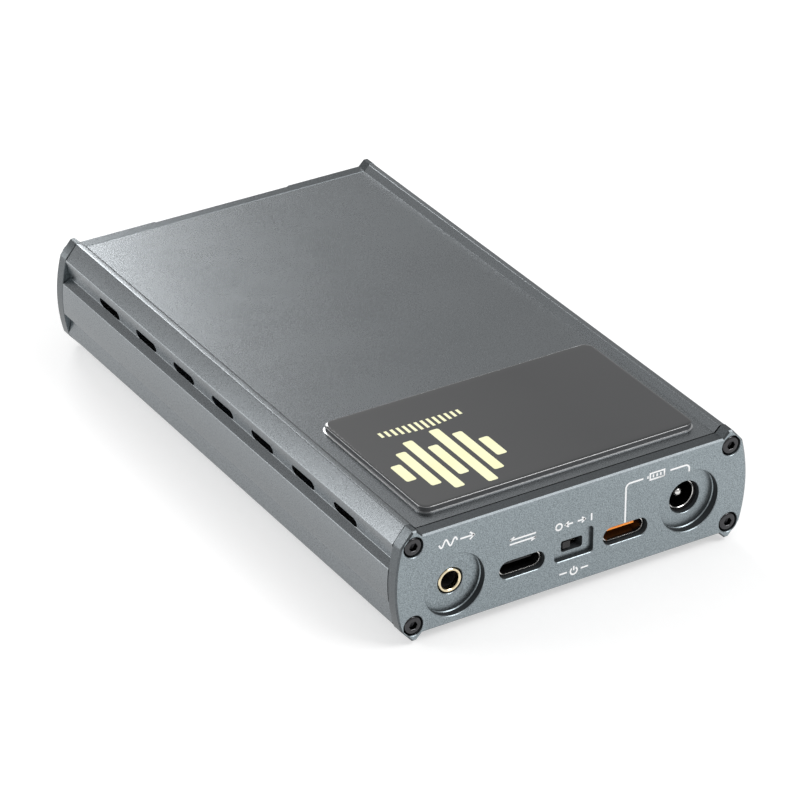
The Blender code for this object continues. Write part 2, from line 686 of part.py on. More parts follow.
def make_battery():
    low, high = BATTERY_LOW, BATTERY_HIGH
    front, back = BATTERY_FRONT, BATTERY_REAR
    outline = rounded_box(BATTERY_WIDE, high - low, 1.5, (0, (high + low) / 2), 2)
    pack = Shape().prism(outline, front, back).place("battery_pack")
    finish(pack, ((0.05, 0.16, 0.30), 0.45, 0.0))
    half = BATTERY_WIDE / 2 - 2
    foam = Shape().box((-half, front + 2, PARTS_FLOOR), (half, back - 2, low - 0.25)).place("battery_foam")
    finish(foam, RUBBER)
    x = LEAD_X
    socket_low = back + 9.0
    wide, long, tall = PLUG_SIZE
    corners = (x - wide / 2, socket_low, PARTS_FLOOR), (x + wide / 2, socket_low + long, PARTS_FLOOR + tall)
    socket = Shape().box(*corners).place("battery_plug")
    finish(socket, ((0.75, 0.73, 0.68), 0.5, 0.0))
    start = Vector((x, back + GAP, 1.0))
    end = Vector((x, socket_low - GAP, PARTS_FLOOR + tall / 2))
    reach = Vector((0, 4.0, 0))
    points = interpolate_bezier(start, start + reach, end - reach, end, 10)
    curve = bpy.data.curves.new("battery_lead", "CURVE")
    curve.dimensions = "3D"
    curve.bevel_depth = LEAD_RADIUS * MM
    curve.bevel_resolution = 2
    curve.use_fill_caps = True
    line = curve.splines.new("POLY")
    line.points.add(len(points) - 1)
    for point, place in zip(line.points, points):
        point.co = (*(place * MM), 1.0)
    lead = bpy.data.objects.new("battery_lead", curve)
    hang(lead)
    finish(lead, ((0.6, 0.03, 0.02), 0.5, 0.0))


def make_feet():
    top = -FACE - 0.1
    number = 0
    radius, edge = FOOT_RADIUS, 0.4
    for y in (CASE_FRONT + FOOT_INSET, CASE_REAR - FOOT_INSET):
        for x in (-FOOT_X, FOOT_X):
            number += 1
            profile = [(0, top), (radius, top), (radius, -MID + edge), (radius - edge, -MID), (0, -MID)]
            foot = Shape().turned(profile, (x, y), "Z").place(f"foot_{number}")
            finish(foot, RUBBER)


def clear_scene():
    for piece in list(bpy.data.objects):
        bpy.data.objects.remove(piece)


def main():
    clear_scene()
    middle = bpy.data.objects.new("case_middle", None)
    bpy.context.scene.collection.objects.link(middle)
    middle.location = (0, 0, MID * MM)
    make_case()
    make_window()
    make_rear_panel()
    make_front_panel()
    make_screws()
    make_ports()
    make_inlet()
    make_small_jack("aux", AUX_X, CASE_REAR - GAP, 1, REAR - AUX_RECESS - 0.1)
    make_small_jack("line", LINE_X, CASE_FRONT + GAP, -1, FRONT + PAD_STEP - 0.9)
    make_phones_jack()
    make_volume()
    make_buttons()
    make_status_light()
    make_power_switch()
    make_board()
    make_board_parts()
    make_battery()
    make_feet()


main()
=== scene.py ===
import math

import bmesh
import bpy
import numpy as np
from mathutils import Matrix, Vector
from mathutils.geometry import tessellate_polygon


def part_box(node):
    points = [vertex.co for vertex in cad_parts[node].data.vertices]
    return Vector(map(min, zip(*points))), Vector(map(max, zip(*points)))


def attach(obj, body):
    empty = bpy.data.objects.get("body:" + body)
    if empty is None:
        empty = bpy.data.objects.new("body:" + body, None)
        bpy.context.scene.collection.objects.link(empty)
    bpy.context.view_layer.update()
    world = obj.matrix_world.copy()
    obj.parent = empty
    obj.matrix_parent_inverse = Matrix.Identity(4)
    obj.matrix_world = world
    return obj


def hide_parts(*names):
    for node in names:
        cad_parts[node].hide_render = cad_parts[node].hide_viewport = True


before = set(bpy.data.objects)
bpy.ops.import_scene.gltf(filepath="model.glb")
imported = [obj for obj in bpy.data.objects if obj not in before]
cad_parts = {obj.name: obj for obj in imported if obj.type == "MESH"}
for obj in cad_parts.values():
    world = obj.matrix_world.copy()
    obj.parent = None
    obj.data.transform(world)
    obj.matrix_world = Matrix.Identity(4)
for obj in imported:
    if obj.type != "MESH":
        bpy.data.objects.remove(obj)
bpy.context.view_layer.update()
mm = 0.001
print("frame loaded:", len(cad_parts), "nodes")


# Places are read from the frame, in millimetres, with heights counted from the case's middle plane.
def nodeBox(name):
    low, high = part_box(name)
    lift = np.array([0, 0, middleHeight])
    return np.array(low) / mm - lift, np.array(high) / mm - lift


middleHeight = 0.0
panelLow, panelHigh = nodeBox("rear_panel")
middleHeight = (panelLow[2] + panelHigh[2]) / 2
panelLow, panelHigh = nodeBox("rear_panel")
frontLow, frontHigh = nodeBox("front_panel")
shellLow, shellHigh = nodeBox("body_shell")


# Outlines are closed loops of (u, v) points.
def circleLoop(radius, centre=(0, 0), count=64):  # centre + radius (cos t, sin t)
    t = np.linspace(0, 2 * np.pi, count, endpoint=False)
    return np.column_stack([centre[0] + radius * np.cos(t), centre[1] + radius * np.sin(t)])


# Four quarter arcs about the inset corners.
def roundBoxLoop(width, height, radius, centre=(0, 0), perCorner=12):
    radius = min(radius, 0.4995 * min(width, height))
    t = np.linspace(0, np.pi / 2, perCorner) + np.arange(4)[:, None] * np.pi / 2
    alongU = np.array([1, -1, -1, 1])[:, None] * (width / 2 - radius)
    alongV = np.array([1, 1, -1, -1])[:, None] * (height / 2 - radius)
    u = centre[0] + alongU + radius * np.cos(t)
    v = centre[1] + alongV + radius * np.sin(t)
    return np.column_stack([u.ravel(), v.ravel()])


def arcCorners(corners, steps=8):  # each (u, v, radius) corner becomes an arc that touches both its edges
    loop = []
    for k, (u, v, radius) in enumerate(corners):
        point = np.array([u, v])
        if not radius:
            loop.append(point[None])
            continue
        before = np.array(corners[k - 1][:2]) - point
        after = np.array(corners[k + 1][:2]) - point
        before, after = before / np.linalg.norm(before), after / np.linalg.norm(after)
        half = math.acos(np.clip(before @ after, -1, 1)) / 2
        centre = point + (before + after) / np.linalg.norm(before + after) * radius / math.sin(half)
        start, end = [point + way * radius / math.tan(half) - centre for way in (before, after)]
        t = np.linspace(0, 1, steps + 1)[:, None]
        sweepAngle = math.pi - 2 * half
        arc = (np.sin((1 - t) * sweepAngle) * start + np.sin(t * sweepAngle) * end) / math.sin(sweepAngle)
        loop.append(centre + arc)
    return np.concatenate(loop)


def fourWay(quarter):  # a quarter from the top to the right side, mirrored down and then across
    right = np.concatenate([quarter, quarter[::-1] * [1, -1]])
    return np.concatenate([right, right[::-1] * [-1, 1]])


# Each point moves along the mean normal of its two edges, so the edges move by distance.
def grown(loop, distance):
    forward = np.roll(loop, -1, axis=0) - loop
    forward /= np.linalg.norm(forward, axis=1)[:, None]
    normal = np.column_stack([forward[:, 1], -forward[:, 0]])
    x, y = loop.T
    turn = np.sum(x * np.roll(y, -1) - np.roll(x, -1) * y)
    normal *= np.sign(turn)
    before = np.roll(normal, 1, axis=0)
    return loop + distance * (normal + before) / (1 + np.sum(normal * before, axis=1))[:, None]


# The distance from the middle is half across / cos of the angle from a flat's middle.
def hexLoop(across, centre, count=48):
    t = np.linspace(0, 2 * np.pi, count, endpoint=False)
    radius = across / 2 / np.cos(t % (np.pi / 3) - np.pi / 6)
    return np.column_stack([centre[0] + radius * np.cos(t), centre[1] + radius * np.sin(t)])


def acrossX(loop, x):
    return np.column_stack([np.full(len(loop), x), loop])


def acrossY(loop, y):
    return np.column_stack([loop[:, 0], np.full(len(loop), y), loop[:, 1]])


def acrossZ(loop, z):
    return np.column_stack([loop, np.full(len(loop), z)])


class Skin:
    # gathers swept and flat areas in millimetres, then makes one closed mesh of them

    def __init__(self):
        self.points, self.faces, self.paints, self.count = [], [], [], 0

    def add(self, points, faces, paint):
        self.points.append(points)
        self.faces += [tuple(int(i) + self.count for i in face) for face in faces]
        self.paints += [paint] * len(faces)
        self.count += len(points)

    # Point (i, j) is point j of loop i, and a quad joins each four neighbours.
    def sweep(self, loops, paint=0, endless=False):
        loops = np.array(loops)
        rows, columns = loops.shape[:2]
        i, j = np.meshgrid(np.arange(rows if endless else rows - 1), np.arange(columns), indexing="ij")
        below, right = (i + 1) % rows, (j + 1) % columns
        corners = [i * columns + j, i * columns + right, below * columns + right, below * columns + j]
        self.add(loops.reshape(-1, 3), np.stack(corners, axis=-1).reshape(-1, 4), paint)
        return self

    def flat(self, outer, holes=(), paint=0):  # the plane area inside outer and outside every hole
        loops = [outer, *holes]
        triangles = tessellate_polygon([[Vector(p) for p in loop] for loop in loops])
        self.add(np.concatenate(loops), triangles, paint)
        return self

    def solid(self, loops, paint=0):  # a sweep closed at both ends
        return self.sweep(loops, paint).flat(loops[0], paint=paint).flat(loops[-1], paint=paint)

    def blocks(self, lows, highs, paint=0):  # one box for each row of lows and highs
        lows, highs = np.array(lows, float), np.array(highs, float)
        pick = np.array([[i, j, k] for i in (0, 1) for j in (0, 1) for k in (0, 1)])
        points = lows[:, None] * (1 - pick) + highs[:, None] * pick
        sides = np.array([[0, 1, 3, 2], [4, 6, 7, 5], [0, 4, 5, 1], [2, 3, 7, 6], [0, 2, 6, 4], [1, 5, 7, 3]])
        faces = sides[None] + 8 * np.arange(len(lows))[:, None, None]
        self.add(points.reshape(-1, 3), faces.reshape(-1, 4), paint)
        return self

    # A flat line: each point is moved to both sides along its mitre.
    def stroke(self, path, width, heights, lay, paint=0):
        path = np.array(path, float)
        ahead = np.diff(path, axis=0)
        ahead /= np.linalg.norm(ahead, axis=1)[:, None]
        across = np.column_stack([-ahead[:, 1], ahead[:, 0]])
        if np.allclose(path[0], path[-1]):
            before, after = np.vstack([across[-1:], across]), np.vstack([across, across[:1]])
        else:
            before, after = np.vstack([across[:1], across]), np.vstack([across, across[-1:]])
        mitre = (before + after) / (1 + np.sum(before * after, axis=1))[:, None] * width / 2
        low, high = heights
        corners = [(path - mitre, low), (path + mitre, low), (path + mitre, high), (path - mitre, high)]
        loops = np.stack([lay(side, height) for side, height in corners], axis=1)
        return self.solid(loops, paint)

    def build(self, name, body, slotName, replaced, materials, sharp=32):
        points = np.concatenate(self.points) * mm + [0, 0, middleHeight * mm]
        data = bpy.data.meshes.new(name)
        data.from_pydata(points.tolist(), [], self.faces)
        for material in materials:
            data.materials.append(material)
        data.polygons.foreach_set("material_index", self.paints)
        made = bmesh.new()
        made.from_mesh(data)
        bmesh.ops.remove_doubles(made, verts=made.verts, dist=1e-6)
        bmesh.ops.dissolve_degenerate(made, edges=made.edges, dist=1e-7)
        bmesh.ops.recalc_face_normals(made, faces=made.faces)
        made.to_mesh(data)
        made.free()
        data.shade_smooth()
        data.set_sharp_from_angle(angle=math.radians(sharp))
        piece = bpy.data.objects.new(name, data)
        bpy.context.scene.collection.objects.link(piece)
        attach(piece, body)
        if replaced:
            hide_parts(*replaced)
        return piece


def carve(piece, cutter, sharp=32):  # takes the cutter's shape out of the piece, and the cutter away
    data = bpy.data.meshes.new("cutter")
    points = np.concatenate(cutter.points) * mm + [0, 0, middleHeight * mm]
    data.from_pydata(points.tolist(), [], cutter.faces)
    made = bmesh.new()
    made.from_mesh(data)
    bmesh.ops.remove_doubles(made, verts=made.verts, dist=1e-6)
    bmesh.ops.recalc_face_normals(made, faces=made.faces)
    made.to_mesh(data)
    made.free()
    tool = bpy.data.objects.new("cutter", data)
    bpy.context.scene.collection.objects.link(tool)
    modifier = piece.modifiers.new("carve", "BOOLEAN")
    modifier.operation, modifier.solver, modifier.object = "DIFFERENCE", "EXACT", tool
    graph = bpy.context.evaluated_depsgraph_get()
    carved = bpy.data.meshes.new_from_object(piece.evaluated_get(graph))
    piece.modifiers.clear()
    old, piece.data = piece.data, carved
    bpy.data.meshes.remove(old)
    carved.name = piece.name
    bpy.data.objects.remove(tool)
    bpy.data.meshes.remove(data)
    piece.data.shade_smooth()
    piece.data.set_sharp_from_angle(angle=math.radians(sharp))


class Wire:
    # a socket that can stand in a sum: each operator adds its Math node

    def __init__(self, paint, socket):
        self.paint, self.socket = paint, socket

    def maths(self, operation, *values):
        return self.paint.make("Math", {"operation": operation}, dict(enumerate(values)))

    def __add__(self, other):
        return self.maths("ADD", self, other)

    def __radd__(self, other):
        return self.maths("ADD", other, self)

    def __sub__(self, other):
        return self.maths("SUBTRACT", self, other)

    def __mul__(self, other):
        return self.maths("MULTIPLY", self, other)

    def __truediv__(self, other):
        return self.maths("DIVIDE", self, other)

    def __lt__(self, other):
        return self.maths("LESS_THAN", self, other)

    def __gt__(self, other):
        return self.maths("GREATER_THAN", self, other)

    def clamped(self):
        return self.maths("MINIMUM", self.maths("MAXIMUM", self, 0.0), 1.0)


class Paint:
    # one material: make adds any node, its settings first and then the values or links of its sockets

    def __init__(self, name, **constants):
        self.material = bpy.data.materials.new(name)
        self.material.use_nodes = True
        self.tree = self.material.node_tree
        self.shader = self.tree.nodes["Principled BSDF"]
        for socketName, value in constants.items():
            self.shader.inputs[socketName.replace("_", " ")].default_value = value
        self.place = self.make("TexCoord", output="Object")

    def feed(self, socket, value):
        if isinstance(value, Wire):
            self.tree.links.new(value.socket, socket)
        else:
            socket.default_value = value

    def make(self, kind, settings=None, sockets=None, output=0):
        node = self.tree.nodes.new("ShaderNode" + kind)
        for key, value in (settings or {}).items():
            if key == "stops":
                ramp = node.color_ramp.elements
                while len(ramp) < len(value):
                    ramp.new(0.5)
                for stop, (position, colour) in zip(ramp, value):
                    stop.position, stop.color = position, (*colour, 1)
            else:
                setattr(node, key, value)
        for key, value in (sockets or {}).items():
            self.feed(node.inputs[key], value)
        return Wire(self, node.outputs[output])

    def noise(self, size, detail=2.0, roughness=0.5):  # size is one patch's width in millimetres
        sockets = {"Vector": self.place, "Scale": 1 / (size * mm), "Detail": detail, "Roughness": roughness}
        return self.make("TexNoise", None, sockets, "Fac")

    def mix(self, factor, first, second):
        sockets = {0: factor, 6: first, 7: second}
        return self.make("Mix", {"data_type": "RGBA"}, sockets, 2)

    def bump(self, height, depth, strength=1.0):  # depth in millimetres
        sockets = {"Height": height, "Distance": depth * mm, "Strength": strength}
        self.feed(self.shader.inputs["Normal"], self.make("Bump", None, sockets))

    def set(self, socketName, value):
        self.feed(self.shader.inputs[socketName], value)


# Bead-blasted and dyed aluminium: fine pits, and a few bright grains.
def anodised(name, tint, roughness, grain, sparkle):
    paint = Paint(name, Metallic=1.0)
    fine = paint.noise(grain, 3.0, 0.7)
    cloud = paint.noise(18.0, 2.0)
    dark, light = [tuple(c * k for c in tint) + (1.0,) for k in (1 - sparkle, 1 + sparkle)]
    grains = paint.make("ValToRGB", {"stops": [(0.3, (0, 0, 0)), (0.7, (1, 1, 1))]}, {"Fac": fine})
    paint.set("Base Color", paint.mix(grains, dark, light))
    paint.set("Roughness", roughness + (cloud - 0.5) * 0.05 + (fine - 0.5) * 0.12)
    paint.bump(fine, 0.07 * grain, 0.5)
    return paint.material


def plated(name, tint, roughness):  # plated metal with faint drawing marks and finger haze
    paint = Paint(name, Metallic=1.0)
    haze = paint.noise(3.0, 3.0)
    marks = paint.noise(0.25, 2.0)
    paint.set("Base Color", paint.mix(haze, tuple(0.88 * c for c in tint) + (1.0,), tint + (1.0,)))
    paint.set("Roughness", roughness + haze * 0.1)
    paint.bump(marks, 0.004)
    return paint.material


# Plastic or rubber with a fine moulded grain.
def moulded(name, tint, roughness, grain=0.2, depth=0.01, **constants):
    paint = Paint(name, **constants)
    fine, cloud = paint.noise(grain, 3.0), paint.noise(6.0)
    lighter = tuple(min(1.0, 1.35 * c + 0.004) for c in tint) + (1.0,)
    paint.set("Base Color", paint.mix(cloud, tint + (1.0,), lighter))
    paint.set("Roughness", roughness + (fine - 0.5) * 0.15)
    paint.bump(fine, depth)
    return paint.material


# The profile is rings of (radius, place along the axis).
def turned(skin, centre, profile, count=64, axis="Y", endless=False, paint=0):
    across = acrossY if axis == "Y" else acrossZ
    loops = [across(circleLoop(radius, centre, count), place) for radius, place in profile]
    return skin.sweep(loops, paint, True) if endless else skin.solid(loops, paint)


def paintedGlow(tint, strength):  # painted glow: emission makes a part shine though it is no lamp
    return {"Emission_Color": tint + (1.0,), "Emission_Strength": strength}


paints = {
    "case": anodised("caseAnodised", (0.212, 0.227, 0.238), 0.28, 0.24, 0.22),
    "panel": anodised("panelAnodised", (0.268, 0.308, 0.327), 0.34, 0.22, 0.50),
    # the end plates' edge bands take a darker copy of the panel anodising: painted shade
    "rim": anodised("rimShadedAnodising", (0.108, 0.119, 0.126), 0.30, 0.24, 0.35),
    # recess walls are painted near black: painted shade in the recesses
    "wall": moulded("recessShade", (0.030, 0.034, 0.037), 0.60, 0.3, 0.01, Specular_IOR_Level=0.15),
    "knob": anodised("knobAnodised", (0.06, 0.06, 0.065), 0.34, 0.12, 0.12),
    "blackScrew": plated("blackOxide", (0.07, 0.07, 0.073), 0.12),
    "steel": plated("platedSteel", (0.80, 0.79, 0.77), 0.16),
    # near-black steel for the insides of shells, sleeves and screw sockets: painted shade
    "insideShadeSteel": plated("shadedSteel", (0.045, 0.045, 0.048), 0.30),
    "gold": plated("goldPlate", (0.92, 0.79, 0.54), 0.14),
    "black": moulded("blackMoulding", (0.018, 0.018, 0.019), 0.45),
    # the orange tongue insulator shines by emission: painted light
    "orange": moulded("orangeMouldingPaintedGlow", (1.0, 0.33, 0.05), 0.30, **paintedGlow((1.0, 0.25, 0.03), 0.45)),
    "rubber": moulded("footRubber", (0.022, 0.022, 0.022), 0.75, 0.15, 0.02),
    "tape": moulded("foamTape", (0.02, 0.02, 0.02), 0.85, 0.3, 0.05),
    "chip": moulded("chipMoulding", (0.022, 0.022, 0.026), 0.55, 0.1),
    "film": moulded("amberFilm", (0.42, 0.20, 0.04), 0.32, 0.5, 0.004, Coat_Weight=0.3),
    "nylon": moulded("nylonPlug", (0.72, 0.70, 0.64), 0.50),
    "lead": moulded("leadSleeve", (0.55, 0.03, 0.02), 0.50),
    "clear": moulded("clearMoulding", (0.70, 0.73, 0.78), 0.25, 0.3, 0.004, Transmission_Weight=0.6),
    "white": moulded("whiteInk", (0.86, 0.87, 0.88), 0.55, 0.1, 0.003),
    "yellow": moulded("paleYellowInk", (0.93, 0.91, 0.52), 0.55, 0.1, 0.003),
}
print("materials made:", len(paints))


# The case: a drawn tube with rails on its corners and two grooves along each side.
caseShape = {
    "flatHalf": 10.15,  # from the middle plane to the flat top
    "sideRadius": 32.7,  # bulge of the sides
    "railFoot": 31.95,
    "railSide": 33.1,
    "chamferTop": 34.2,
    "chamferLow": (36.75, 8.2, 0.55),  # the last number rounds the corner
    "grooveFoot": (35.9, 4.3, 0.2),
    "grooveEdge": 3.4,
    "ventCount": 7,
    "ventPitch": 15.0,
    "ventLength": 8.0,
    "ventHeight": 2.0,
    "ventReach": (33.5, 39.0),  # the cut runs between these distances from the middle
    "boreHalf": 34.2,
    "boreTop": 8.65,
    "bossHalf": 31.4,
    "bossEnds": (6.3, -6.65),
    "screwHole": 1.3,
    "screwDepth": 11,
    "window": (24.0, 28.0, 1.0),  # width, length and corner of the opening under the glass
    "windowCut": (8.0, 11.0),
}
halfWide = shellHigh[0]
outside = panelHigh[1] - panelLow[1]  # a panel's thickness
caseMiddle = (shellLow[1] + shellHigh[1]) / 2


def sideX(z):  # half width minus the bulge's fall: radius - sqrt(radius^2 - z^2)
    radius = caseShape["sideRadius"]
    return halfWide - radius + np.sqrt(radius**2 - np.square(z))


def caseOutline():
    shape, railTip = caseShape, shellHigh[2]
    edge = shape["grooveEdge"]
    quarter = arcCorners([
        (shape["railFoot"], shape["flatHalf"], 0),
        (shape["railSide"], railTip, 0.2),
        (shape["chamferTop"], railTip, 0.3),
        shape["chamferLow"],
        shape["grooveFoot"],
        (sideX(edge), edge, 0.35),
        (float(sideX(edge / 2)), edge / 2, 0),
    ], 6)
    bulge = np.linspace(edge / 2, 0.3, 5)[1:]
    return fourWay(np.vstack([quarter, np.column_stack([sideX(bulge), bulge])]))


def cavityOutline():  # the bore, with a boss in each corner for the panel screws
    boss, wall, roof = caseShape["bossHalf"], caseShape["boreHalf"], caseShape["boreTop"]
    upper, lower = caseShape["bossEnds"]
    right = [(boss, roof), (boss, upper), (wall, upper), (wall, lower), (boss, lower), (boss, -roof)]
    right = np.array(right)
    return np.concatenate([right, right[::-1] * [-1, 1]])


def makeCase():
    outer, inner = caseOutline(), cavityOutline()
    low, high = shellLow[1], shellHigh[1]
    skin = Skin()
    skin.sweep([acrossY(outer, low), acrossY(outer, high)])
    skin.sweep([acrossY(inner, low), acrossY(inner, high)])
    for end in (low, high):
        skin.flat(acrossY(outer, end), [acrossY(inner, end)])
    case = skin.build("caseTube", "case", "case", ["body_shell"], [paints["case"]], 24)
    cutter = Skin()
    shape = caseShape
    for k in range(shape["ventCount"]):
        y = caseMiddle + (k - (shape["ventCount"] - 1) / 2) * shape["ventPitch"]
        middle = (y, shape["grooveFoot"][1] + shape["ventHeight"] / 2)
        slot = roundBoxLoop(shape["ventLength"], shape["ventHeight"], shape["ventHeight"] / 2, middle)
        for side in (-1, 1):
            cutter.solid([acrossX(slot, side * x) for x in shape["ventReach"]])
    for end, face, inwards in (("rear", high, -1), ("front", low, 1)):
        depths = (face - inwards, face + inwards * shape["screwDepth"])
        for place in screwPlaces(end):
            turned(cutter, place, [(shape["screwHole"], depth) for depth in depths], 32)
    slot = roundBoxLoop(*shape["window"], middleOf("display_module")[:2])
    cutter.solid([acrossZ(slot, z) for z in shape["windowCut"]])
    carve(case, cutter, 24)


panelShape = {
    "earFoot": 32.1,
    "earTop": (33.35, 34.2),
    "bulge": (8.65, 0.2),  # heights between which the side follows the case's bulge
    "innerEdge": 0.1,
    "wallFrom": 0.3,  # a bore's step deeper than this takes the near-black recess paint, painted shade
    "screwBore": 2.05,
    "screwBoreDepth": 2.1,
}


def panelOutline():
    z = np.linspace(*panelShape["bulge"], 22)
    near, far = panelShape["earTop"]
    top = panelHigh[2]
    corner = np.array([(panelShape["earFoot"], caseShape["flatHalf"]), (near, top), (far, top)])
    return fourWay(np.vstack([corner, np.column_stack([sideX(z), z])]))


# Bores are lists of (loop, depth below the outside face).
def makePlate(name, node, outer, inner, edge, bores):
    outline, innerEdge = panelOutline(), panelShape["innerEdge"]
    inwards = 1 if inner > outer else -1
    skin = Skin()
    rim = [acrossY(grown(outline, -edge), outer), acrossY(outline, outer + inwards * edge)]
    rim += [acrossY(outline, inner - inwards * innerEdge), acrossY(grown(outline, -innerEdge), inner)]
    # the edge band takes paint 1, the darker copy of the anodising: painted shade
    skin.sweep(rim, 1)
    swept = [[acrossY(loop, outer + inwards * depth) for loop, depth in stops] for stops in bores]
    for loops in swept:
        for first, second in zip(loops, loops[1:]):
            # steps deeper than wallFrom take paint 2, the recesses' painted shade
            deep = abs(first[0][1] - second[0][1]) > panelShape["wallFrom"]
            skin.sweep([first, second], 2 if deep else 0)
    skin.flat(rim[0], [loops[0] for loops in swept])
    skin.flat(rim[-1], [loops[-1] for loops in swept])
    return skin.build(name, "case", "panel", [node], [paints["panel"], paints["rim"], paints["wall"]], 28)


def roundBore(centre, stops, count=64):
    return [(circleLoop(radius, centre, count), depth) for radius, depth in stops]


def screwPlaces(end):
    return [faceMiddle(f"{end}_screw_{number}") for number in range(1, 5)]


def middleOf(node):
    low, high = nodeBox(node)
    return (low + high) / 2


def faceMiddle(node):  # the middle as seen along Y
    return middleOf(node)[[0, 2]]


def screwBore(place):
    bore, deep, hole = panelShape["screwBore"], panelShape["screwBoreDepth"], caseShape["screwHole"]
    return roundBore(place, [(bore + 0.1, 0), (bore, 0.1), (bore, deep), (hole, deep), (hole, outside)])


inkHeight = 0.015
rearShape = {
    "edge": 0.3,
    "recess": 6.3,  # radius of the two round recesses
    "auxDepth": 1.6,
    "inletDepth": 1.7,
    "switchDepth": 0.9,
    "rim": 0.12,  # broken edge of each recess
    "portSlot": (9.7, 3.65),
    "auxHole": 2.65,
    "inletHole": 3.3,
    "switchOpening": (8.35, 5.45, 0.8),  # width, height and corner
    "switchRise": 0.3,  # the opening's middle lies this far above the slot's
    "switchSlot": (4.6, 2.3, 0.5),
    "switchHalfTravel": 1.0,
}


def makeRearPanel():
    shape = rearShape
    rim, recess = shape["rim"], shape["recess"]
    bores = [screwBore(place) for place in screwPlaces("rear")]
    for node, kind in (("aux_jack_ring", "aux"), ("dc_jack_sleeve", "inlet")):
        middle, depth, hole = faceMiddle(node), shape[kind + "Depth"], shape[kind + "Hole"]
        stops = [(recess + rim, 0), (recess, rim), (recess, depth - 0.15), (recess - 0.15, depth)]
        stops += [(hole + 0.1, depth), (hole, depth + 0.1), (hole, outside)]
        bores.append(roundBore(middle, stops, 96))
    wide, high = shape["portSlot"]
    for node in ("data_port_shell", "charge_port_shell"):
        middle = faceMiddle(node)
        loops = [roundBoxLoop(wide + 2 * g, high + 2 * g, high / 2 + g, middle) for g in (0.1, 0, 0)]
        bores.append(list(zip(loops, (0, 0.1, outside))))
    x, z = faceMiddle("power_slider") - [shape["switchHalfTravel"], 0]
    wide, high, corner = shape["switchOpening"]
    depth, middle = shape["switchDepth"], (x, z + shape["switchRise"])
    bores.append([
        (roundBoxLoop(wide + 2 * rim, high + 2 * rim, corner + rim, middle), 0),
        (roundBoxLoop(wide, high, corner, middle), rim),
        (roundBoxLoop(wide, high, corner, middle), depth),
        (roundBoxLoop(*shape["switchSlot"], (x, z)), depth),
        (roundBoxLoop(*shape["switchSlot"], (x, z)), outside),
    ])
    makePlate("rearPlate", "rear_panel", panelHigh[1] - inkHeight, panelLow[1], shape["edge"], bores)


frontShape = {
    "edge": 0.3,
    "step": 0.6,  # the middle field lies this far behind the side pads
    "fieldHalf": 15.35,
    "fieldBevel": 0.2,
    "knobHole": 3.5,
    "phonesHole": 4.6,
    "lineHole": 2.65,
    "lightHole": 0.95,
    "lightHeight": 4.6,
    "buttonHole": 2.5,
    "mouth": 0.15,
}


def makeFrontPanel():
    shape = frontShape
    step, mouth, bevel, half = shape["step"], shape["mouth"], shape["fieldBevel"], shape["fieldHalf"]
    bores = [screwBore(place) for place in screwPlaces("front")]
    for node, hole in (("volume_knob", shape["knobHole"]), ("phones_jack_ring", shape["phonesHole"])):
        bores.append(roundBore(faceMiddle(node), [(hole + 0.2, 0), (hole, 0.2), (hole, outside)]))
    light = (faceMiddle("light_pipe")[0], shape["lightHeight"])
    small = [(faceMiddle("line_jack_ring"), shape["lineHole"]), (light, shape["lightHole"])]
    small += [(faceMiddle(f"{name}_button"), shape["buttonHole"]) for name in ("mode", "gain")]
    for middle, radius in small:
        stops = [(radius + mouth, 0), (radius + mouth, step), (radius, step + mouth), (radius, outside)]
        bores.append(roundBore(middle, stops))
    outer = frontLow[1]
    plate = makePlate("frontPlate", "front_panel", outer, frontHigh[1], shape["edge"], bores)
    wide = half + bevel
    right = [(wide, outer - 1), (wide, outer), (half, outer + bevel), (half, outer + step)]
    left = [(-half, outer + step), (-half, outer + bevel), (-wide, outer)]
    field = np.array([(-wide, outer - 1)] + right + left)
    reach = panelHigh[2] + 2.6  # past both of the plate's ends
    cutter = Skin().solid([acrossZ(field, -reach), acrossZ(field, reach)])
    carve(plate, cutter, 28)


glassShape = {
    "corner": 2.0,
    "bevelWide": 0.65,
    "bevelDrop": 0.26,
    "foot": 0.16,  # height of the ground line round the base
    "bead": 0.30,  # how far the sealing bead stands out
    "beadHigh": 0.09,
    "lip": 0.25,  # width of the skirt that hides the tape
    "lipDrop": 0.28,
    "printHeight": 0.015,
    "reflectionStart": -12.0,  # painted reflection: the glass's base colour lightens from here towards the print side
    "reflectionSpan": 42.0,
}


